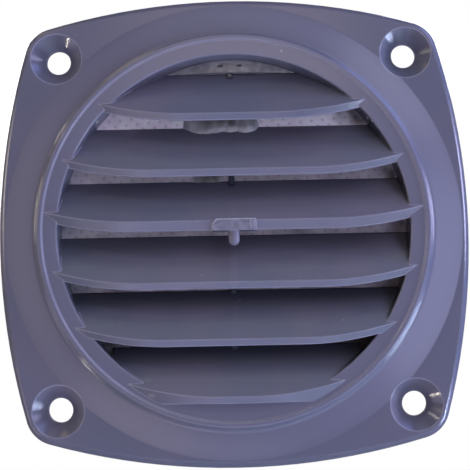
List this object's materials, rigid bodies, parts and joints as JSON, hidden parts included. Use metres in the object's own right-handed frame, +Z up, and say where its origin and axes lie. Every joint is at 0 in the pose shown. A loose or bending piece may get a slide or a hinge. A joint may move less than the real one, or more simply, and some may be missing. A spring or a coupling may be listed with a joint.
{
  "type": "round vent grille",
  "caption": "Round louvred vent grille on a square flange with countersunk corner holes, with sloping fixed slats and a cloth insect screen glued behind them.",
  "frame": {"origin": "centre of the screw-hole square, on the plane of the flange's back that lies on the wall", "axes": "+Y into the wall, so the front faces -Y; +Z up the wall, which the slats shed water down; +X to the right seen from the front"},
  "size_m": [0.085, 0.0075, 0.085],
  "materials": {
    "grille_plastic": "semi-gloss moulded plastic, slightly weathered",
    "screen_cloth": "thin non-woven cloth with rows of pressed dots, matt",
    "glue": "set glue, half clear, glossy"
  },
  "bodies": {
    "root": {"grille": "grille_plastic", "insect_screen": "screen_cloth", "glue": "glue"}
  },
  "joints": []
}
